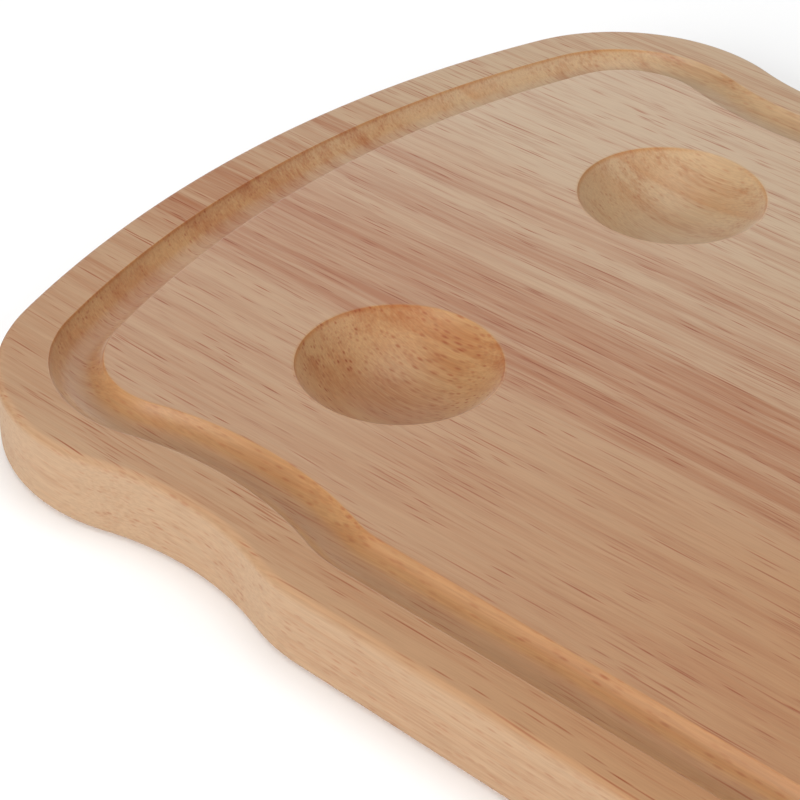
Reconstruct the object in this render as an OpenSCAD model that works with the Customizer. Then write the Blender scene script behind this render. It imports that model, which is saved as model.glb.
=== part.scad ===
/* [Board] */
// Thickness of the board
board_thickness = 18; // [14:0.5:26]
// Width across the lobes, and across the straight sides below them
board_width = 236; // [210:1:270]
// Length from the top of the crown to the bottom edge
board_length = 280; // [240:1:340]
// Radius of the rounding along the upper and lower edges
edge_radius = 2; // [0.5:0.1:4]

/* [Outline] */
// Radius of the long arc of the crown
crown_radius = 277; // [240:1:320]
// Radius of the lobe at each end of the crown
lobe_radius = 43.5; // [36:0.5:50]
// How far the notch under each lobe goes in from the side
notch_depth = 5.75; // [2:0.25:9]
// Radius of the hollow arc of a notch
notch_radius = 70; // [55:1:85]
// Radius of the shoulder between a notch and the straight side
shoulder_radius = 41.5; // [36:0.5:50]
// Radius of the bottom corners
corner_radius = 40; // [36:0.5:50]

/* [Groove] */
// Width of the flat margin between the outline and the groove
margin_width = 11.5; // [8:0.5:14]
// Width of the groove at the top face
groove_width = 11.5; // [9:0.5:13]
// Depth of the groove at its middle
groove_depth = 4; // [2:0.1:4.5]

/* [Egg recesses] */
// Diameter of a recess at the top face
recess_diameter = 45; // [36:0.5:52]
// Depth of a recess at its middle
recess_depth = 11; // [5:0.5:12]
// Distance between the middles of the recesses
recess_spacing = 96; // [70:1:110]
// Distance from the top of the crown down to the line of the recesses
recess_drop = 89.5; // [75:0.5:120]

/* [Hidden] */

$fn = 192;

// The board lies on its underside, and the origin is in the middle of it
half_width = board_width / 2;
half_length = board_length / 2;
// How far the cutting lines between the arcs reach past the outline
overshoot = 10;

// A circle through both rims of the groove and its lowest point
groove_radius = (pow(groove_width / 2, 2) + pow(groove_depth, 2)) / (2 * groove_depth);
groove_inset = margin_width + groove_width / 2;
// A sphere through the rim of a recess and its lowest point
recess_radius = (pow(recess_diameter / 2, 2) + pow(recess_depth, 2)) / (2 * recess_depth);

// Third side of a right triangle, from its longest side and another
function leg(longest, other) = sqrt(pow(longest, 2) - pow(other, 2));
// A point past the second of two points, on the line through both
function beyond(from, to, extra) = to + (to - from) * extra / norm(to - from);

// Middles of the arcs of the right half, from the crown down, each set so that its arc
// runs smoothly into the one before it
crown_centre = [0, half_length - crown_radius];
lobe_x = half_width - lobe_radius;
lobe_centre = [lobe_x, crown_centre.y + leg(crown_radius - lobe_radius, lobe_x)];
notch_x = half_width - notch_depth + notch_radius;
notch_centre = [notch_x, lobe_centre.y - leg(lobe_radius + notch_radius, notch_x - lobe_x)];
shoulder_x = half_width - shoulder_radius;
shoulder_rise = leg(notch_radius + shoulder_radius, notch_x - shoulder_x);
shoulder_centre = [shoulder_x, notch_centre.y - shoulder_rise];
corner_centre = [half_width - corner_radius, corner_radius - half_length];

// Moves a shape by whole millimetres and then by the rest, so that no digit of its place is lost
module at(place) {
    whole = [for (step = place) round(step)];
    translate(whole)
        translate(place - whole)
            children();
}

// Section through the rim with its groove, from inside the board out to the edge
module rim_section(reach) {
    difference() {
        union() {
            square([reach - edge_radius, board_thickness]);
            translate([0, edge_radius])
                square([reach, board_thickness - 2 * edge_radius]);
            for (height = [edge_radius, board_thickness - edge_radius])
                at([reach - edge_radius, height])
                    circle(edge_radius);
        }
        at([reach - groove_inset, board_thickness + groove_radius - groove_depth])
            circle(groove_radius);
    }
}

// Rim turned about the middle of an arc that bulges outwards
module bulging_rim(centre, radius) {
    at(centre)
        rotate_extrude()
            rim_section(radius);
}

// Rim turned about the middle of an arc that hollows the edge
module hollow_rim(centre, radius, reach) {
    at(centre)
        rotate_extrude()
            at([radius + reach, 0])
                mirror([1, 0])
                    rim_section(reach);
}

// Rim of a straight edge, drawn down from the origin, with its edge towards +X
module straight_rim(length, reach) {
    rotate([90, 0, 0])
        linear_extrude(length)
            rim_section(reach);
}

// What lies over one cell of the plan, cut so that neighbours meet on the line
// through the middles of their arcs
module over(cell) {
    intersection() {
        children();
        linear_extrude(board_thickness)
            polygon(cell);
    }
}

module crown() {
    end = beyond(crown_centre, lobe_centre, lobe_radius + overshoot);
    top = half_length + overshoot;
    over([
        lobe_centre,
        end,
        [end.x, top],
        [-end.x, top],
        [-end.x, end.y],
        [-lobe_centre.x, lobe_centre.y]
    ])
        bulging_rim(crown_centre, crown_radius);
}

module lobe() {
    end = beyond(crown_centre, lobe_centre, lobe_radius + overshoot);
    over([lobe_centre, end, [notch_x, end.y], notch_centre])
        bulging_rim(lobe_centre, lobe_radius);
}

module notch() {
    over([lobe_centre, notch_centre, shoulder_centre])
        hollow_rim(notch_centre, notch_radius, lobe_radius + shoulder_radius);
}

module shoulder() {
    over([shoulder_centre, notch_centre, [notch_x, shoulder_centre.y]])
        bulging_rim(shoulder_centre, shoulder_radius);
}

module side() {
    translate([0, shoulder_centre.y, 0])
        straight_rim(shoulder_centre.y - corner_centre.y, half_width);
}

module corner() {
    end = [half_width, -half_length] + [overshoot, -overshoot];
    over([corner_centre, [end.x, corner_centre.y], end, [corner_centre.x, end.y]])
        bulging_rim(corner_centre, corner_radius);
}

module bottom() {
    translate([corner_centre.x, corner_centre.y, 0])
        rotate([0, 0, -90])
            straight_rim(2 * corner_centre.x, corner_radius);
}

// Ungrooved stretch between the crown, the notches and the straight sides
module middle() {
    linear_extrude(board_thickness)
        polygon([
            lobe_centre,
            shoulder_centre,
            [-shoulder_centre.x, shoulder_centre.y],
            [-lobe_centre.x, lobe_centre.y]
        ]);
}

module recess() {
    translate([0, 0, board_thickness + recess_radius - recess_depth])
        sphere(recess_radius);
}

module board() {
    color("burlywood")
        difference() {
            union() {
                crown();
                middle();
                bottom();
                for (half = [0, 1])
                    mirror([half, 0, 0]) {
                        lobe();
                        notch();
                        shoulder();
                        side();
                        corner();
                    }
            }
            for (half = [-1, 1])
                translate([half * recess_spacing / 2, half_length - recess_drop, 0])
                    recess();
        }
}

board();
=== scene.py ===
"""Breakfast board of rubberwood, shaped like a slice of toast, with a crumb groove and egg recesses."""

import math
from typing import NamedTuple

import bmesh
import bpy
from bpy.props import FloatProperty, FloatVectorProperty, IntProperty, PointerProperty
from mathutils import Matrix, Vector


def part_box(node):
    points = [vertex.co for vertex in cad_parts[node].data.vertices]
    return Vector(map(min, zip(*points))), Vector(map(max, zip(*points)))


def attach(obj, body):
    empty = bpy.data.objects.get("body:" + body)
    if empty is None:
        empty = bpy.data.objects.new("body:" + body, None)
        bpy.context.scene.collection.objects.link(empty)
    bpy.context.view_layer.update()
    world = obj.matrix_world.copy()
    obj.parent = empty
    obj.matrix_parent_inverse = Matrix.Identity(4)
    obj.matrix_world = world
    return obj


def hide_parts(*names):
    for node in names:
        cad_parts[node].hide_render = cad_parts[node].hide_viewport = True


bl_info = {
    "name": "Breakfast Board",
    "version": (1, 0, 0),
    "blender": (4, 5, 0),
    "location": "3D View > Sidebar > Board",
    "description": "Carves, finishes and stages a wooden breakfast board",
    "category": "Add Mesh",
}

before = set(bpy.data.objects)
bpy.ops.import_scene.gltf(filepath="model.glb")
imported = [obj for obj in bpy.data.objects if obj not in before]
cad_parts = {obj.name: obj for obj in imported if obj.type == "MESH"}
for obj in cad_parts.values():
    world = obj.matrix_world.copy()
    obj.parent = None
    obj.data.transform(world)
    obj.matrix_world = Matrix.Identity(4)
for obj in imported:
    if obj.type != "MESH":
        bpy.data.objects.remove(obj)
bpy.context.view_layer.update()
LOW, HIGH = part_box("board")

MM = 0.001
ZERO = Vector((0, 0, 0))
ACROSS = Vector((1, 0, 0))
UP = Vector((0, 0, 1))
QUARTER_TURN = math.pi / 2

# Points that lie this near to each other are one
WELD = 0.002 * MM
# Width of the strips of faces beside a rounding, which keep the shading of the flats even
STRIP = 0.3 * MM
# Faces along the straight side and along half of the bottom edge
SIDE_STEPS = 8
BOTTOM_STEPS = 6

# Material slots of the finished board
PLANED, SANDED, ROUTED, TURNED = range(4)


class BoardSizes(bpy.types.PropertyGroup):
    """Sizes of the board; its thickness, width and length come from the frame."""

    edge_radius: FloatProperty(
        name="Edge Radius", description="Rounding along the upper and lower edges",
        default=2 * MM, unit="LENGTH")
    crown_radius: FloatProperty(
        name="Crown Radius", description="Radius of the long arc of the crown",
        default=277 * MM, unit="LENGTH")
    lobe_radius: FloatProperty(
        name="Lobe Radius", description="Radius of the lobe at each end of the crown",
        default=43.5 * MM, unit="LENGTH")
    notch_depth: FloatProperty(
        name="Notch Depth", description="How far the notch under a lobe goes in from the side",
        default=5.75 * MM, unit="LENGTH")
    notch_radius: FloatProperty(
        name="Notch Radius", description="Radius of the hollow arc of a notch",
        default=70 * MM, unit="LENGTH")
    shoulder_radius: FloatProperty(
        name="Shoulder Radius", description="Radius between a notch and the straight side",
        default=41.5 * MM, unit="LENGTH")
    corner_radius: FloatProperty(
        name="Corner Radius", description="Radius of the bottom corners",
        default=40 * MM, unit="LENGTH")
    margin_width: FloatProperty(
        name="Margin Width", description="Flat margin between the outline and the groove",
        default=11.5 * MM, unit="LENGTH")
    groove_width: FloatProperty(
        name="Groove Width", description="Width of the groove at the top face",
        default=11.5 * MM, unit="LENGTH")
    groove_depth: FloatProperty(
        name="Groove Depth", description="Depth of the groove at its middle",
        default=4 * MM, unit="LENGTH")
    recess_diameter: FloatProperty(
        name="Recess Diameter", description="Diameter of an egg recess at the top face",
        default=45 * MM, unit="LENGTH")
    recess_depth: FloatProperty(
        name="Recess Depth", description="Depth of an egg recess at its middle",
        default=11 * MM, unit="LENGTH")
    recess_spacing: FloatProperty(
        name="Recess Spacing", description="Distance between the middles of the recesses",
        default=96 * MM, unit="LENGTH")
    recess_drop: FloatProperty(
        name="Recess Drop", description="From the top of the crown down to the recesses",
        default=89.5 * MM, unit="LENGTH")
    rim_radius: FloatProperty(
        name="Rim Radius", description="Sanded rounding of the groove's and recesses' rims",
        default=0.4 * MM, unit="LENGTH")
    flatness: FloatProperty(
        name="Flatness", description="How far a straight step may stray from a true arc",
        default=0.004 * MM, unit="LENGTH")
    rings: IntProperty(
        name="Recess Rings", description="Rings of faces from a recess's middle to its rim",
        default=26)
    spokes: IntProperty(
        name="Recess Spokes", description="Faces round a recess", default=160)


class BoardFinish(bpy.types.PropertyGroup):
    """Colours of the wood, with painted shade and haze in some of them, and the roughness of its satin
    oil finish.
    """

    pale: FloatVectorProperty(
        name="Pale Wood", description="Pale sapwood", subtype="COLOR", size=3,
        default=(0.460, 0.320, 0.200), min=0, max=1)
    tan: FloatVectorProperty(
        name="Tan Wood", description="Warm wood between the pale and the pink", subtype="COLOR",
        size=3, default=(0.430, 0.262, 0.148), min=0, max=1)
    amber: FloatVectorProperty(
        name="Amber Wood", description="What the tan wood turns to at the foot and in some bands",
        subtype="COLOR", size=3, default=(0.405, 0.212, 0.098), min=0, max=1)
    pink: FloatVectorProperty(
        name="Pink Wood", description="Pinkish brown growth bands", subtype="COLOR", size=3,
        default=(0.322, 0.124, 0.048), min=0, max=1)
    pore: FloatVectorProperty(
        name="Pores", description="Tint of the open vessels of the wood", subtype="COLOR",
        size=3, default=(0.68, 0.32, 0.24), min=0, max=1)
    # Darker rims: partly end grain, partly painted shade just under the rims and on the sanded edge's
    # rounding
    rim: FloatVectorProperty(
        name="Rims", description="Tint of rims cut across the grain", subtype="COLOR",
        size=3, default=(0.92, 0.72, 0.50), min=0, max=1)
    honey: FloatVectorProperty(
        name="Honey", description="Tint of cut surfaces that drank more oil", subtype="COLOR",
        size=3, default=(0.98, 0.87, 0.64), min=0, max=1)
    # Less red sanded wood, and painted shade: this tint also dims the lit sides of the board
    dry: FloatVectorProperty(
        name="Dry", description="Tint of the sanded edge, which is less red", subtype="COLOR",
        size=3, default=(0.86, 0.92, 0.97), min=0, max=1)
    gloss: FloatProperty(
        name="Roughness", description="Roughness of the satin finish", default=0.46,
        min=0, max=1, subtype="FACTOR")


class BoardStage(bpy.types.PropertyGroup):
    """Camera and light."""

    azimuth: FloatProperty(
        name="Azimuth", description="Camera's turn about the upright axis",
        default=math.radians(-47.99), unit="ROTATION")
    elevation: FloatProperty(
        name="Elevation", description="Camera's height above the horizon, as an angle",
        default=math.radians(35.61), unit="ROTATION")
    roll: FloatProperty(
        name="Roll", description="Camera's turn about its line of sight",
        default=math.radians(0.60), unit="ROTATION")
    distance: FloatProperty(
        name="Distance", description="From the camera to the point it looks at",
        default=495.3 * MM, unit="LENGTH")
    target: FloatVectorProperty(
        name="Target", description="Point on the top face that the camera looks at",
        default=(-58.06 * MM, 41.2 * MM, HIGH.z), size=3, subtype="TRANSLATION")
    lens: FloatProperty(
        name="Lens", description="Focal length in millimetres", default=107.04)
    key: FloatProperty(
        name="Key Light", description="Power of the low soft light at the left", default=17.5)
    top: FloatProperty(
        name="Top Light", description="Power of the soft light overhead", default=7.2)
    fill: FloatProperty(
        name="Fill Light", description="Power of the soft light at the foot", default=5.1)
    rim: FloatProperty(
        name="Rim Light", description="Power of the low soft light behind", default=5.2)
    sky: FloatProperty(name="Sky", description="Strength of the white surroundings", default=0.27)


# Straight runs and arcs of the section and the outline


def steps_for(radius, angle, flatness):
    """How many straight steps an arc needs so that none strays further than the flatness."""
    step = 2 * math.acos(1 - flatness / radius)
    return max(2, math.ceil(abs(angle) / step))


def draw_line(mesh, tip, move):
    """Draws an edge on from the tip of a line and returns the new tip."""
    tip = bmesh.ops.extrude_vert_indiv(mesh, verts=[tip])["verts"][0]
    bmesh.ops.translate(mesh, verts=[tip], vec=move)
    return tip


def draw_arc(mesh, tip, centre, axis, angle, steps):
    """Draws an arc of edges on from the tip of a line and returns the new tip."""
    made = bmesh.ops.spin(
        mesh, geom=[tip], cent=centre, axis=axis, dvec=ZERO, angle=angle, steps=steps)
    return next(part for part in made["geom_last"] if isinstance(part, bmesh.types.BMVert))


def sweep_arc(mesh, section, centre, angle, steps):
    """Turns a section about an upright axis and returns it at the end of the turn."""
    made = bmesh.ops.spin(
        mesh, geom=section, cent=centre, axis=-UP, dvec=ZERO, angle=angle, steps=steps)
    return made["geom_last"]


def sweep_line(mesh, section, move, steps):
    """Carries a section along a straight line and returns it at the end."""
    made = bmesh.ops.spin(
        mesh, geom=section, cent=ZERO, axis=UP, dvec=move / steps, angle=0, steps=steps)
    return made["geom_last"]


class Hollow:
    """Section of a hollow that is part of a circle, with rounded rims at the top face."""

    def __init__(self, width, depth, rim):
        self.depth = depth
        self.rim = rim
        self.radius = ((width / 2) ** 2 + depth ** 2) / (2 * depth)
        rise = self.radius - depth
        self.reach = math.sqrt((self.radius + rim) ** 2 - (rise + rim) ** 2)
        self.angle = math.asin(self.reach / (self.radius + rim))


class Outline:
    """Middles, radii and turns of the arcs of the outline's right half, from the crown down."""

    def __init__(self, sizes):
        half_width = HIGH.x
        half_length = HIGH.y
        crown, lobe = sizes.crown_radius, sizes.lobe_radius
        notch, shoulder = sizes.notch_radius, sizes.shoulder_radius
        corner = sizes.corner_radius

        crown_middle = Vector((0, half_length - crown, 0))
        lobe_x = half_width - lobe
        lobe_y = crown_middle.y + math.sqrt((crown - lobe) ** 2 - lobe_x ** 2)
        notch_x = half_width - sizes.notch_depth + notch
        notch_y = lobe_y - math.sqrt((lobe + notch) ** 2 - (notch_x - lobe_x) ** 2)
        shoulder_x = half_width - shoulder
        rise = math.sqrt((notch + shoulder) ** 2 - (notch_x - shoulder_x) ** 2)
        shoulder_y = notch_y - rise
        corner_x = half_width - corner
        corner_y = corner - half_length

        lean_in = math.atan2(lobe_y - crown_middle.y, lobe_x)
        lean_out = math.atan2(notch_y - lobe_y, notch_x - lobe_x)
        lean_back = math.atan2(notch_y - shoulder_y, notch_x - shoulder_x)
        self.arcs = [
            (crown_middle, crown, QUARTER_TURN - lean_in),
            (Vector((lobe_x, lobe_y, 0)), lobe, lean_in - lean_out),
            (Vector((notch_x, notch_y, 0)), notch, lean_out - lean_back),
            (Vector((shoulder_x, shoulder_y, 0)), shoulder, lean_back),
        ]
        self.side = Vector((0, corner_y - shoulder_y, 0))
        self.corner = (Vector((corner_x, corner_y, 0)), corner, QUARTER_TURN)
        self.bottom = Vector((-corner_x, 0, 0))

    def sweep(self, mesh, section, flatness):
        """Carries a section round the right half of the outline."""
        for centre, radius, angle in self.arcs:
            steps = steps_for(radius, angle, flatness)
            section = sweep_arc(mesh, section, centre, angle, steps)
        section = sweep_line(mesh, section, self.side, SIDE_STEPS)
        centre, radius, angle = self.corner
        steps = steps_for(radius, angle, flatness)
        section = sweep_arc(mesh, section, centre, angle, steps)
        sweep_line(mesh, section, self.bottom, BOTTOM_STEPS)


def draw_edge_section(mesh, sizes):
    """Section of the board's edge, from the underside round to the groove's outer rim."""
    round_off = sizes.edge_radius
    thickness = HIGH.z
    groove = Hollow(sizes.groove_width, sizes.groove_depth, sizes.rim_radius)
    margin = sizes.margin_width + sizes.groove_width / 2 - groove.reach
    steps = steps_for(round_off, QUARTER_TURN, sizes.flatness)

    tip = mesh.verts.new((0, HIGH.y - round_off - STRIP, 0))
    tip = draw_line(mesh, tip, Vector((0, STRIP, 0)))
    middle = Vector((0, HIGH.y - round_off, round_off))
    tip = draw_arc(mesh, tip, middle, ACROSS, QUARTER_TURN, steps)
    for rise in (STRIP, thickness - 2 * round_off - 2 * STRIP, STRIP):
        tip = draw_line(mesh, tip, Vector((0, 0, rise)))
    middle = Vector((0, HIGH.y - round_off, thickness - round_off))
    tip = draw_arc(mesh, tip, middle, ACROSS, QUARTER_TURN, steps)
    for run in (STRIP, margin - round_off - 2 * STRIP, STRIP):
        tip = draw_line(mesh, tip, Vector((0, -run, 0)))


def draw_groove_section(mesh, sizes):
    """Section of the groove with its rounded rims and a strip of the face inside it."""
    groove = Hollow(sizes.groove_width, sizes.groove_depth, sizes.rim_radius)
    line = HIGH.y - sizes.margin_width - sizes.groove_width / 2
    outer = Vector((0, line + groove.reach, HIGH.z - groove.rim))
    inner = Vector((0, line - groove.reach, HIGH.z - groove.rim))
    bowl = Vector((0, line, HIGH.z - groove.depth + groove.radius))
    rim_steps = steps_for(groove.rim, groove.angle, sizes.flatness)
    bowl_steps = steps_for(groove.radius, 2 * groove.angle, sizes.flatness)

    tip = mesh.verts.new((0, outer.y, HIGH.z))
    tip = draw_arc(mesh, tip, outer, ACROSS, groove.angle, rim_steps)
    tip = draw_arc(mesh, tip, bowl, -ACROSS, 2 * groove.angle, bowl_steps)
    tip = draw_arc(mesh, tip, inner, ACROSS, groove.angle, rim_steps)
    draw_line(mesh, tip, Vector((0, -STRIP, 0)))


def draw_recess_section(mesh, sizes, middle):
    """Section of an egg recess from its lowest point to a strip of the face round its rim."""
    bowl = Hollow(sizes.recess_diameter, sizes.recess_depth, sizes.rim_radius)
    floor = Vector((middle.x, middle.y, HIGH.z - bowl.depth))
    rim = Vector((middle.x, middle.y + bowl.reach, HIGH.z - bowl.rim))
    steps = steps_for(bowl.rim, bowl.angle, sizes.flatness)

    tip = mesh.verts.new(floor)
    tip = draw_arc(mesh, tip, floor + UP * bowl.radius, ACROSS, bowl.angle, sizes.rings)
    tip = draw_arc(mesh, tip, rim, -ACROSS, bowl.angle, steps)
    draw_line(mesh, tip, Vector((0, STRIP, 0)))


class Additions:
    """Remembers what a mesh holds, to tell what is added to it afterwards."""

    def __init__(self, mesh):
        self.mesh = mesh
        self.old = {*mesh.verts, *mesh.edges, *mesh.faces}

    def section(self):
        """The points and edges that were added."""
        return [part for part in [*self.mesh.verts, *self.mesh.edges] if part not in self.old]

    def paint(self, slot):
        """Gives the faces that were added a material."""
        for face in self.mesh.faces:
            if face not in self.old:
                face.material_index = slot


def add_band(mesh, draw_section, sizes, slot):
    """Draws a section and carries it round the right half of the board."""
    added = Additions(mesh)
    draw_section(mesh, sizes)
    Outline(sizes).sweep(mesh, added.section(), sizes.flatness)
    added.paint(slot)


def add_recess(mesh, sizes, middle):
    """Draws the section of an egg recess and turns it about its middle."""
    added = Additions(mesh)
    draw_recess_section(mesh, sizes, middle)
    bmesh.ops.spin(
        mesh, geom=added.section(), cent=middle, axis=UP, dvec=ZERO,
        angle=2 * math.pi, steps=sizes.spokes, use_merge=True)
    added.paint(TURNED)


def fill_face(mesh, height, normal):
    """Fills the board's flat face at a height, leaving the holes in it open."""
    rim = [
        edge for edge in mesh.edges
        if edge.is_boundary and all(abs(v.co.z - height) < WELD for v in edge.verts)
    ]
    made = bmesh.ops.triangle_fill(mesh, edges=rim, use_beauty=True, normal=normal)
    for part in made["geom"]:
        if isinstance(part, bmesh.types.BMFace):
            part.material_index = PLANED


def carve_board(sizes):
    """Makes the board's mesh: half of its edge and groove, mirrored, then recesses and faces."""
    mesh = bmesh.new()
    add_band(mesh, draw_edge_section, sizes, SANDED)
    add_band(mesh, draw_groove_section, sizes, ROUTED)
    bmesh.ops.mirror(
        mesh, geom=[*mesh.verts, *mesh.edges, *mesh.faces],
        matrix=Matrix.Identity(4), merge_dist=WELD, axis="X")
    line = HIGH.y - sizes.recess_drop
    for x in (-sizes.recess_spacing / 2, sizes.recess_spacing / 2):
        add_recess(mesh, sizes, Vector((x, line, 0)))
    bmesh.ops.remove_doubles(mesh, verts=mesh.verts, dist=WELD)
    fill_face(mesh, HIGH.z, UP)
    fill_face(mesh, 0, -UP)
    bmesh.ops.recalc_face_normals(mesh, faces=mesh.faces)
    for face in mesh.faces:
        face.smooth = True
    return mesh


# Node trees

# Sockets of a mix node that mixes colours: the factor, the two colours and the result
MIX_INPUTS = (0, 6, 7)
MIX_RESULT = 2


def add(tree, kind, label, sockets=None, **settings):
    """Adds a node; a socket is given a value, or another node's output to be linked to."""
    node = tree.nodes.new(kind)
    node.label = label
    for name, value in settings.items():
        setattr(node, name, value)
    for name, value in (sockets or {}).items():
        if isinstance(value, bpy.types.NodeSocket):
            tree.links.new(value, node.inputs[name])
        else:
            node.inputs[name].default_value = value
    return node


def maths(tree, operation, label, a, b=0.5, clamp=False):
    """Adds a maths node on two values and returns its result."""
    node = add(tree, "ShaderNodeMath", label, {0: a, 1: b}, operation=operation, use_clamp=clamp)
    return node.outputs["Value"]


def remap(tree, label, value, low, high, to_low=0.0, to_high=1.0):
    """Carries a value smoothly from one range to another, and holds it outside."""
    node = add(
        tree, "ShaderNodeMapRange", label,
        {"Value": value, "From Min": low, "From Max": high, "To Min": to_low, "To Max": to_high},
        interpolation_type="SMOOTHSTEP")
    return node.outputs["Result"]


def remap_linear(tree, label, value, low, high, to_low=0.0, to_high=1.0):
    """Carries a value in a straight line from one range to another, and holds it outside."""
    node = add(
        tree, "ShaderNodeMapRange", label,
        {"Value": value, "From Min": low, "From Max": high, "To Min": to_low, "To Max": to_high})
    return node.outputs["Result"]


def mix(tree, label, factor, a, b, blend="MIX"):
    """Mixes two colours and returns the result."""
    sockets = dict(zip(MIX_INPUTS, (factor, a, b)))
    node = add(tree, "ShaderNodeMix", label, sockets, data_type="RGBA", blend_type=blend)
    return node.outputs[MIX_RESULT]


def rgba(colour):
    """A colour with full alpha."""
    return (*colour, 1.0)


def look_up(tree, label, value, stops):
    """Strength at a value from 0 to 1; a stop is a place from -1 to 1 and its strength."""
    node = add(tree, "ShaderNodeValToRGB", label, {"Fac": value})
    ramp = node.color_ramp
    while len(ramp.elements) < len(stops):
        ramp.elements.new(1.0)
    for element, (place, strength) in zip(ramp.elements, stops):
        element.position = (place + 1) / 2
        element.color = rgba((strength, strength, strength))
    ramp.interpolation = "EASE"
    return node.outputs["Color"]


def stretch(tree, label, place, cell):
    """Scales a place so that a pattern's cell has that size, in metres, along X, Y and Z."""
    node = add(
        tree, "ShaderNodeMapping", label,
        {"Vector": place, "Scale": tuple(1 / size for size in cell)})
    return node.outputs["Vector"]


def grain_noise(tree, label, place, cell, detail=2.0, roughness=0.5):
    """Smooth noise in cells of that size, from 0 to 1."""
    node = add(
        tree, "ShaderNodeTexNoise", label,
        {"Vector": stretch(tree, label, place, cell), "Scale": 1.0,
         "Detail": detail, "Roughness": roughness})
    return node.outputs["Fac"]


def new_group(name, inputs, outputs):
    """Starts a shader node group with its named sockets."""
    tree = bpy.data.node_groups.new(name, "ShaderNodeTree")
    for label, kind in inputs:
        tree.interface.new_socket(name=label, in_out="INPUT", socket_type=kind)
    for label, kind in outputs:
        tree.interface.new_socket(name=label, in_out="OUTPUT", socket_type=kind)
    return tree


# Figure of the wood, which runs along Y; a cell is a size along X, Y and Z

# How far a growth band shifts towards +X for each metre of depth, at the left and right sides
RING_LEAN = (2.4, 0.4)

# How pink the wood is from side to side: places from -1 at the left to 1 at the right, and how
# strong the pink is there
GROWTH_BANDS = (
    (-1.00, 0.00), (-0.92, 0.26), (-0.66, 0.30), (-0.52, 0.18), (-0.42, 0.05),
    (-0.37, 0.16), (-0.32, 0.90), (-0.27, 0.95), (-0.24, 0.50), (-0.19, 0.78),
    (-0.11, 0.80), (-0.03, 0.45), (0.02, 0.50), (0.08, 0.30), (0.12, 0.22),
    (0.16, 0.60), (0.21, 0.20), (0.28, 0.05), (0.36, 0.12), (0.48, 0.05),
    (0.60, 0.12), (0.80, 0.05), (1.00, 0.10),
)
# How pink a growth band of full strength is
BAND_PINK = 0.7

# Where the wood turns pinker with depth, in the same terms, down to what depth and how much
HEART_BANDS = ((-1.00, 0.0), (-0.88, 0.0), (-0.74, 1.0), (-0.54, 1.0), (-0.44, 0.0))
HEART_DEPTH = 3.5 * MM
HEART_PINK = 0.33

# Where cut grain is less pink than flat grain, in the same terms
CLEAR_BANDS = (
    (-1.00, 0.0), (-0.32, 0.0), (-0.28, 0.50), (-0.22, 0.55), (-0.16, 0.0), (0.48, 0.0),
    (0.53, 0.8), (0.58, 0.6), (0.64, 0.0), (1.00, 0.0),
)

# Where cut grain is amber, in the same terms
AMBER_BANDS = (
    (-1.00, 0.0), (0.20, 0.0), (0.30, 0.10), (0.38, 0.35), (0.40, 0.0), (0.44, 0.0),
    (0.455, 0.65), (0.48, 0.30), (0.54, 0.0), (1.00, 0.0),
)

# What smooth noise mostly lies between
NOISE_RANGE = (0.3, 0.7)

# Cells of the streaks and clouds, how much pink they add or take, and how the streaks are
# plainer to the left: between which shares of the width they gain strength, and from what
STREAK_CELL = (4.5 * MM, 240 * MM, 7 * MM)
STREAK_PINK = 0.6
PLAIN_SIDE = (0.15, 0.35)
PLAIN_LEAST = 0.65
CLOUD_CELL = (9 * MM, 45 * MM, 12 * MM)
CLOUD_PINK = 0.1

# Cell of the noise that is added to the share of the width to make the right side pale, and the
# sums between which it turns pale; the paleness is partly paler wood and partly painted haze
DRIFT_CELL = (40 * MM, 300 * MM, 40 * MM)
DRIFT_RANGE = (0.8, 1.3)

# Shares of the width between which the warmth at the foot fades
WARM_SIDE = (0.28, 0.42)

# Cells of the noise that shifts the grain sideways, and how far
SLOW_WANDER = ((60 * MM, 120 * MM, 60 * MM), 5 * MM)
QUICK_WANDER = ((7 * MM, 28 * MM, 7 * MM), 0.9 * MM)

# Cell of the fibres, how they shade the wood, how much of that shows on flat grain, and their
# height as a share of the pores' depth
FIBRE_CELL = (0.3 * MM, 9 * MM, 0.4 * MM)
FIBRE_SHADES = (1.07, 0.93)
FIBRE_ON_FLAT = 0.6
FIBRE_HEIGHT = 0.3

# How much oil tint the palest wood takes and how strong its dots are, as a share of the rest; less of
# both is also painted light that lifts the far recess's shade
PALE_THIRST_AND_LIGHT = 0.55


class Vessels(NamedTuple):
    """Cell that holds a vessel, its radius as a share of the cell, and how faint some are."""

    cell: tuple
    radius: float
    least: float


LONG_DASHES = Vessels((0.8 * MM, 40 * MM, 0.8 * MM), 0.27, 0.5)
SHORT_DASHES = Vessels((0.8 * MM, 13 * MM, 0.8 * MM), 0.25, 0.2)
DOTS = Vessels((0.95 * MM, 4 * MM, 0.95 * MM), 0.34, 0.3)

# Shares of a vessel's radius between which it fades out
VESSEL_EDGE = (0.3, 1.3)


class Crowd(NamedTuple):
    """Where vessels crowd: cell and range of the noise that says so, and how faint the rest are."""

    cell: tuple
    start: float
    end: float
    least: float


DASH_ROWS = Crowd((1.6 * MM, 55 * MM, 2 * MM), 0.34, 0.56, 0.3)
DOT_CROWDS = Crowd((5 * MM, 60 * MM, 5 * MM), 0.35, 0.6, 0.45)


def wander(tree, label, place, cell, reach):
    """Shifts a place sideways by smooth noise, so that the grain isn't ruled straight."""
    noise = add(
        tree, "ShaderNodeTexNoise", label,
        {"Vector": stretch(tree, label, place, cell), "Scale": 1.0, "Detail": 1.0})
    centred = add(
        tree, "ShaderNodeVectorMath", "Either way",
        {0: noise.outputs["Color"], 1: (0.5, 0.5, 0.5)}, operation="SUBTRACT")
    scaled = add(
        tree, "ShaderNodeVectorMath", "Sideways only",
        {0: centred.outputs["Vector"], 1: (reach, 0.0, reach)}, operation="MULTIPLY")
    moved = add(
        tree, "ShaderNodeVectorMath", label,
        {0: place, 1: scaled.outputs["Vector"]}, operation="ADD")
    return moved.outputs["Vector"]


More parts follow.
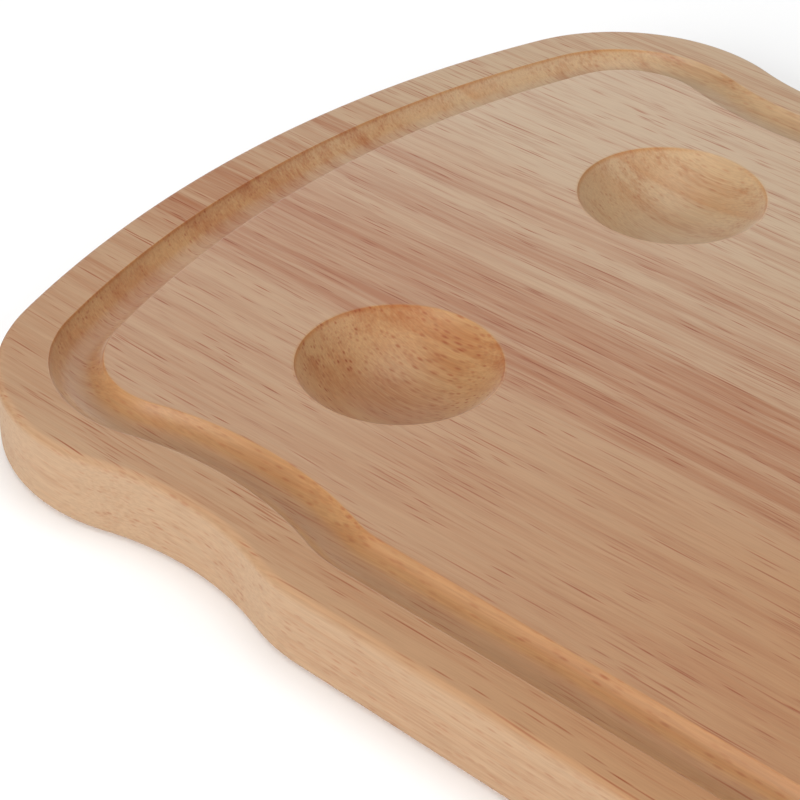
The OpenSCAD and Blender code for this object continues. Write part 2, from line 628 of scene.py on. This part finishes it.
def vessel_layer(tree, label, place, vessels):
    """Long thin cells along the grain with a vessel in each, and some vessels fainter."""
    node = add(
        tree, "ShaderNodeTexVoronoi", label,
        {"Vector": stretch(tree, label, place, vessels.cell), "Scale": 1.0, "Randomness": 1.0},
        voronoi_dimensions="3D", feature="F1", distance="EUCLIDEAN")
    solid, clear = (share * vessels.radius for share in VESSEL_EDGE)
    core = remap(tree, label, node.outputs["Distance"], solid, clear, 1.0, 0.0)
    chance = add(tree, "ShaderNodeSeparateColor", "Each its own", {"Color": node.outputs["Color"]})
    depth = remap_linear(
        tree, "Some deeper", chance.outputs["Red"], 0.0, 1.0, vessels.least, 1.0)
    return maths(tree, "MULTIPLY", label, core, depth)


def crowd_layer(tree, label, place, crowd):
    """Where vessels crowd together: 1 in the crowd and the least value away from it."""
    noise = grain_noise(tree, label, place, crowd.cell)
    return remap(tree, label, noise, crowd.start, crowd.end, crowd.least, 1.0)


def make_ground(tree, finish, place, side, along, warmth):
    """Tan wood, amber at the left of the foot and pale to the right, partly painted haze; and how pale
    it is.
    """
    # Paler to the right: paler wood, and painted haze over the far side
    drift = grain_noise(tree, "Pale drift", place, DRIFT_CELL, detail=1.0)
    drift = maths(tree, "ADD", "Paler to one side", drift, side)
    drift = remap(tree, "Paler to one side", drift, *DRIFT_RANGE)
    foot = remap_linear(tree, "Towards the foot", along, HIGH.y / 2, LOW.y / 2)
    left = remap_linear(tree, "Towards the left", side, *WARM_SIDE, 1.0, 0.0)
    foot = maths(tree, "MULTIPLY", "Left of the foot", foot, left)
    foot = maths(tree, "MULTIPLY", "Warmth at the foot", foot, warmth)
    warm = mix(tree, "Warmer at the foot", foot, rgba(finish.tan), rgba(finish.amber))
    return mix(tree, "Ground", drift, warm, rgba(finish.pale)), drift


def make_blush(tree, place, side, share, depth, cut):
    """How pink the wood is: bands, clearer where cut and pinker with depth, streaks and clouds."""
    bands = look_up(tree, "Growth bands", share, GROWTH_BANDS)
    clear = look_up(tree, "Clear bands", share, CLEAR_BANDS)
    clear = maths(tree, "MULTIPLY", "Clear in cut grain", clear, cut)
    kept = maths(tree, "SUBTRACT", "Pink that is left", 1.0, clear)
    heart = look_up(tree, "Heartwood", share, HEART_BANDS)
    deep = remap_linear(tree, "Towards the heart", depth, 0.0, HEART_DEPTH, 0.0, HEART_PINK)
    heart = maths(tree, "MULTIPLY", "Pinker towards the heart", deep, heart)
    streaks = grain_noise(tree, "Streaks", place, STREAK_CELL, detail=4.0, roughness=0.9)
    streaks = remap_linear(tree, "Streaks", streaks, *NOISE_RANGE, -STREAK_PINK, STREAK_PINK)
    plain = remap_linear(tree, "Plainer to the left", side, *PLAIN_SIDE, PLAIN_LEAST, 1.0)
    streaks = maths(tree, "MULTIPLY", "Plainer to the left", streaks, plain)
    clouds = grain_noise(tree, "Clouds", place, CLOUD_CELL, detail=1.0)
    clouds = remap_linear(tree, "Clouds", clouds, *NOISE_RANGE, -CLOUD_PINK, CLOUD_PINK)
    blush = maths(tree, "MULTIPLY", "Bands", bands, BAND_PINK)
    blush = maths(tree, "MULTIPLY", "Clearer bands", blush, kept)
    blush = maths(tree, "ADD", "Deeper bands", blush, heart)
    blush = maths(tree, "ADD", "Streaky bands", blush, streaks)
    return maths(tree, "ADD", "Cloudy bands", blush, clouds, clamp=True)


def make_bands(tree, finish, place, warmth, cut):
    """Pale, tan and pink growth bands along Y; returns the colour and how pale it is, from wood and
    painted haze.
    """
    parts = add(tree, "ShaderNodeSeparateXYZ", "Across the grain", {"Vector": place}).outputs
    depth = maths(tree, "SUBTRACT", "Depth below the face", HIGH.z, parts["Z"])
    lean = remap_linear(
        tree, "Rings lean less to the right", parts["X"], LOW.x, HIGH.x, *RING_LEAN)
    lean = maths(tree, "MULTIPLY", "Rings lean", depth, lean)
    across = maths(tree, "SUBTRACT", "Across the rings", parts["X"], lean)
    share = remap_linear(tree, "Share of the width", across, LOW.x, HIGH.x)
    side = remap_linear(tree, "Share from the left", parts["X"], LOW.x, HIGH.x)

    ground, drift = make_ground(tree, finish, place, side, parts["Y"], warmth)
    amber = look_up(tree, "Amber bands", share, AMBER_BANDS)
    amber = maths(tree, "MULTIPLY", "Amber in cut grain", amber, cut)
    ground = mix(tree, "Amber", amber, ground, rgba(finish.amber))
    blush = make_blush(tree, place, side, share, depth, cut)
    return mix(tree, "Blush", blush, ground, rgba(finish.pink)), drift


def make_pores(tree, place, cut, strength, thirst_and_painted_light):
    """Vessels: dashes in rows on flat grain, and dots in crowds where the grain is cut."""
    flat = maths(tree, "SUBTRACT", "Flat grain", 1.0, cut)
    long_dashes = vessel_layer(tree, "Long dashes", place, LONG_DASHES)
    short_dashes = vessel_layer(tree, "Short dashes", place, SHORT_DASHES)
    rows = crowd_layer(tree, "Rows of dashes", place, DASH_ROWS)
    dashes = maths(tree, "MAXIMUM", "All dashes", long_dashes, short_dashes)
    dashes = maths(tree, "MULTIPLY", "Dashes in rows", dashes, rows)
    dashes = maths(tree, "MULTIPLY", "Dashes in flat grain", dashes, flat)
    dots = vessel_layer(tree, "Dots", place, DOTS)
    crowds = crowd_layer(tree, "Crowds of dots", place, DOT_CROWDS)
    dots = maths(tree, "MULTIPLY", "Dots in crowds", dots, crowds)
    dots = maths(tree, "MULTIPLY", "Dots in cut grain", dots, cut)
    dots = maths(tree, "MULTIPLY", "Strength of dots", dots, strength)
    # Fainter dots in pale wood, partly painted light on the far recess
    dots = maths(tree, "MULTIPLY", "Fainter in pale wood", dots, thirst_and_painted_light)
    return maths(tree, "ADD", "All pores", dashes, dots, clamp=True)


def make_figure_group(finish):
    """The figure of the wood along Y; cut grain shows dots and oil where flat grain shows lines, with
    painted shade and haze.
    """
    tree = new_group(
        "Rubberwood Figure",
        [("Place", "NodeSocketVector"), ("Cut", "NodeSocketFloat"), ("Rim", "NodeSocketFloat"),
         ("Warmth", "NodeSocketFloat"), ("Tint", "NodeSocketColor"),
         ("Vessels", "NodeSocketFloat")],
        [("Color", "NodeSocketColor"), ("Pores", "NodeSocketFloat"),
         ("Height", "NodeSocketFloat")])
    given = tree.nodes.new("NodeGroupInput").outputs
    cut = given["Cut"]
    place = wander(tree, "Slow wander", given["Place"], *SLOW_WANDER)
    place = wander(tree, "Quick wander", place, *QUICK_WANDER)
    colour, drift = make_bands(tree, finish, place, given["Warmth"], cut)
    # Less oil tint and fainter dots in pale wood; this also paints the shade of the far recess lighter
    thirst_and_painted_light = remap_linear(tree, "Pale wood drinks less", drift, 0.0, 1.0, 1.0, PALE_THIRST_AND_LIGHT)

    fibres = grain_noise(tree, "Fibres", place, FIBRE_CELL)
    shade = remap(tree, "Fibres", fibres, *NOISE_RANGE, *FIBRE_SHADES)
    clear = remap_linear(tree, "Clearer where cut", cut, 0.0, 1.0, FIBRE_ON_FLAT, 1.0)
    colour = mix(tree, "Fibres", clear, colour, shade, "MULTIPLY")

    pores = make_pores(tree, place, cut, given["Vessels"], thirst_and_painted_light)
    pored = mix(tree, "Pore tint", 1.0, colour, rgba(finish.pore), "MULTIPLY")
    colour = mix(tree, "Pores", pores, colour, pored)
    # Cut grain takes the surface's tint: oil, and on the sanded edge painted shade too
    oil = maths(tree, "MULTIPLY", "Oil in cut grain", cut, thirst_and_painted_light)
    tinted = mix(tree, "Tint", 1.0, colour, given["Tint"], "MULTIPLY")
    colour = mix(tree, "Oil in cut grain", oil, colour, tinted)
    # Darker rims: partly end grain, partly painted shade
    rimmed = mix(tree, "Rim tint", 1.0, colour, rgba(finish.rim), "MULTIPLY")
    colour = mix(tree, "Darker rims", given["Rim"], colour, rimmed)
    relief = maths(tree, "MULTIPLY", "Fibre relief", fibres, FIBRE_HEIGHT)
    height = maths(tree, "SUBTRACT", "Relief", relief, pores)

    made = tree.nodes.new("NodeGroupOutput").inputs
    for label, value in (("Color", colour), ("Pores", pores), ("Height", height)):
        tree.links.new(value, made[label])
    return tree


# Materials of the board's surfaces

# Normal's Z from which a surface counts as level
LEVEL = 0.995
# Normal's Y from which a rim's tint, which is end grain and painted shade, grows, and where it is full
END_GRAIN = (0.1, 0.6)
# How far under the face a rim's tint is full
RIM_TOP = 0.15 * MM
RELIEF_DEPTH = 0.05 * MM
# What is added to the roughness in a pore
PORE_ROUGHNESS = 0.25
SHEEN_ROUGHNESS = 0.4


class Surface(NamedTuple):
    """How one kind of surface shows the wood."""

    # Name of its material, and which of the finish's tints cut grain gets
    name: str
    tint: str
    # Strength of the dots in cut grain, and of the relief
    vessels: float
    relief: float
    # Normal's Z up to which all of the grain is cut, and how much is cut where it is level
    steep: float = 0.85
    level_cut: float = 0.0
    # What is added to the finish's roughness
    duller: float = 0.0
    # How much of the warmth at the foot cut grain shows
    warmth: float = 1.0
    shine: float = 0.4
    sheen: float = 0.0
    # How far down a rim's tint of end grain and painted shade reaches, and how strong it is away from
    # the end grain
    rim_grain_and_shade_depth: float = 1.0 * MM
    rim_grain_and_shade_least: float = 0.0


SURFACES = {
    PLANED: Surface("Planed Rubberwood", "honey", vessels=0.7, relief=0.3, shine=0.5),
    # The sanded edge's tint is less red wood, and painted shade that dims the sides
    SANDED: Surface(
        "Sanded Rubberwood", "dry", vessels=0.45, relief=0.2, steep=0.6, duller=0.12, warmth=0.2,
        shine=0.3, rim_grain_and_shade_depth=2.2 * MM, rim_grain_and_shade_least=0.5),
    ROUTED: Surface(
        "Routed Rubberwood", "honey", vessels=0.75, relief=0.4, level_cut=0.25, warmth=0.6,
        sheen=0.25),
    TURNED: Surface(
        "Turned Rubberwood", "honey", vessels=0.9, relief=0.4, level_cut=0.6, sheen=0.2),
}


def make_wood(surface, figure, finish):
    """A wood material, with cut grain where the surface is steep."""
    material = bpy.data.materials.new(surface.name)
    material.use_nodes = True
    tree = material.node_tree
    tree.nodes.clear()
    place = add(tree, "ShaderNodeTexCoord", "Place").outputs["Object"]
    height = add(tree, "ShaderNodeSeparateXYZ", "Height", {"Vector": place}).outputs["Z"]
    normal = add(tree, "ShaderNodeNewGeometry", "Surface").outputs["Normal"]
    facing = add(tree, "ShaderNodeSeparateXYZ", "Facing", {"Vector": normal}).outputs

    flat = maths(tree, "ABSOLUTE", "Either face up", facing["Z"])
    cut = remap(tree, "Cut grain", flat, surface.steep, LEVEL, 1.0, surface.level_cut)
    # Mask of the darker rims, which are partly painted shade
    endways = maths(tree, "ABSOLUTE", "Facing along the grain", facing["Y"])
    endways = remap(tree, "End grain", endways, *END_GRAIN, surface.rim_grain_and_shade_least, 1.0)
    rim = remap(
        tree, "Just under the face", height, HIGH.z - surface.rim_grain_and_shade_depth, HIGH.z - RIM_TOP)
    rim = maths(tree, "MULTIPLY", "Rim of the cut", rim, cut)
    rim = maths(tree, "MULTIPLY", "Rim in end grain", rim, endways)
    warm = remap_linear(tree, "Warmth where cut", cut, 0.0, 1.0, 1.0, surface.warmth)

    wood = tree.nodes.new("ShaderNodeGroup")
    wood.node_tree = figure
    wood.inputs["Tint"].default_value = rgba(getattr(finish, surface.tint))
    wood.inputs["Vessels"].default_value = surface.vessels
    for label, value in (("Place", place), ("Cut", cut), ("Rim", rim), ("Warmth", warm)):
        tree.links.new(value, wood.inputs[label])
    bump = add(
        tree, "ShaderNodeBump", "Relief",
        {"Height": wood.outputs["Height"], "Strength": surface.relief, "Distance": RELIEF_DEPTH})
    gloss = finish.gloss + surface.duller
    rough = remap(
        tree, "Duller pores", wood.outputs["Pores"], 0.0, 1.0, gloss, gloss + PORE_ROUGHNESS)
    shader = add(
        tree, "ShaderNodeBsdfPrincipled", "Oiled wood",
        {"Base Color": wood.outputs["Color"], "Roughness": rough,
         "Specular IOR Level": surface.shine, "Sheen Weight": surface.sheen,
         "Sheen Roughness": SHEEN_ROUGHNESS, "Normal": bump.outputs["Normal"]})
    out = add(tree, "ShaderNodeOutputMaterial", "Surface")
    tree.links.new(shader.outputs["BSDF"], out.inputs["Surface"])
    return material


class BOARD_OT_carve(bpy.types.Operator):
    """Carves the finished board and gives it its wood."""

    bl_idname = "board.carve"
    bl_label = "Carve Board"

    def execute(self, context):
        sizes = context.scene.board_sizes
        finish = context.scene.board_finish
        mesh = carve_board(sizes)
        data = bpy.data.meshes.new("finished_board")
        mesh.to_mesh(data)
        mesh.free()
        piece = bpy.data.objects.new("finished_board", data)
        context.scene.collection.objects.link(piece)
        figure = make_figure_group(finish)
        for slot in sorted(SURFACES):
            data.materials.append(make_wood(SURFACES[slot], figure, finish))
        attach(piece, "root")
        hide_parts("board")
        return {"FINISHED"}


# Where the softboxes are, and the stage's setting for the power of each
SOFTBOXES = {
    "Key Light": ((-1.2, 0.0, 0.35), "key"),
    "Top Light": ((0.0, 0.0, 1.3), "top"),
    "Fill Light": ((0.4, -1.0, 0.7), "fill"),
    "Rim Light": ((0.9, 0.9, 0.3), "rim"),
}
SOFTBOX_SIZE = 0.9

# How far the floor reaches to each side, and how far under the board it lies
FLOOR_REACH = 4
FLOOR_GAP = 0.1 * MM
FLOOR_WHITE = (0.98, 0.98, 0.98)
WHITE = (1, 1, 1)


def add_camera(stage):
    """Places the camera by its turn, height and distance from the point that it looks at."""
    flat = math.cos(stage.elevation)
    forward = Vector((
        -math.sin(stage.azimuth) * flat,
        math.cos(stage.azimuth) * flat,
        -math.sin(stage.elevation),
    ))
    data = bpy.data.cameras.new("Camera")
    data.lens = stage.lens
    data.clip_start = 10 * MM
    camera = bpy.data.objects.new("Camera", data)
    bpy.context.scene.collection.objects.link(camera)
    turn = forward.to_track_quat("-Z", "Y").to_matrix() @ Matrix.Rotation(stage.roll, 3, "Z")
    camera.matrix_world = Matrix.Translation(
        Vector(stage.target) - forward * stage.distance) @ turn.to_4x4()
    bpy.context.scene.camera = camera


def add_softbox(name, place, power):
    """A square area light that faces the board."""
    data = bpy.data.lights.new(name, "AREA")
    data.shape = "SQUARE"
    data.size = SOFTBOX_SIZE
    data.energy = power
    light = bpy.data.objects.new(name, data)
    bpy.context.scene.collection.objects.link(light)
    light.location = place
    light.rotation_euler = (-Vector(place)).to_track_quat("-Z", "Y").to_euler()


def add_floor():
    """A plain white floor just under the board."""
    mesh = bmesh.new()
    bmesh.ops.create_grid(mesh, x_segments=1, y_segments=1, size=FLOOR_REACH)
    bmesh.ops.translate(mesh, verts=mesh.verts, vec=-FLOOR_GAP * UP)
    data = bpy.data.meshes.new("floor")
    mesh.to_mesh(data)
    mesh.free()
    floor = bpy.data.objects.new("floor", data)
    bpy.context.scene.collection.objects.link(floor)
    material = bpy.data.materials.new("White Floor")
    material.use_nodes = True
    shader = material.node_tree.nodes["Principled BSDF"]
    shader.inputs["Base Color"].default_value = rgba(FLOOR_WHITE)
    shader.inputs["Roughness"].default_value = 0.9
    shader.inputs["Specular IOR Level"].default_value = 0.1
    data.materials.append(material)


class BOARD_OT_stage(bpy.types.Operator):
    """Sets the floor, the soft light and the camera."""

    bl_idname = "board.stage"
    bl_label = "Set Stage"

    def execute(self, context):
        stage = context.scene.board_stage
        add_camera(stage)
        add_floor()
        for name, (place, setting) in SOFTBOXES.items():
            add_softbox(name, place, getattr(stage, setting))
        world = bpy.data.worlds.new("Studio")
        world.use_nodes = True
        background = world.node_tree.nodes["Background"]
        background.inputs["Strength"].default_value = stage.sky
        background.inputs["Color"].default_value = rgba(WHITE)
        context.scene.world = world
        context.scene.view_settings.view_transform = "Standard"
        return {"FINISHED"}


class BOARD_PT_panel(bpy.types.Panel):
    """Lists the board's operators and settings."""

    bl_label = "Breakfast Board"
    bl_idname = "BOARD_PT_panel"
    bl_space_type = "VIEW_3D"
    bl_region_type = "UI"
    bl_category = "Board"

    def draw(self, context):
        layout = self.layout
        layout.operator(BOARD_OT_carve.bl_idname)
        layout.operator(BOARD_OT_stage.bl_idname)
        for group in ("board_sizes", "board_finish", "board_stage"):
            box = layout.box()
            settings = getattr(context.scene, group)
            for name in settings.__annotations__:
                box.prop(settings, name)


CLASSES = (BoardSizes, BoardFinish, BoardStage, BOARD_OT_carve, BOARD_OT_stage, BOARD_PT_panel)


def register():
    for each in CLASSES:
        bpy.utils.register_class(each)
    bpy.types.Scene.board_sizes = PointerProperty(type=BoardSizes)
    bpy.types.Scene.board_finish = PointerProperty(type=BoardFinish)
    bpy.types.Scene.board_stage = PointerProperty(type=BoardStage)


def unregister():
    del bpy.types.Scene.board_stage
    del bpy.types.Scene.board_finish
    del bpy.types.Scene.board_sizes
    for each in reversed(CLASSES):
        bpy.utils.unregister_class(each)


def main():
    """Registers the add-on, and makes the board and its stage."""
    register()
    bpy.ops.board.carve()
    bpy.ops.board.stage()


if __name__ == "__main__":
    main()
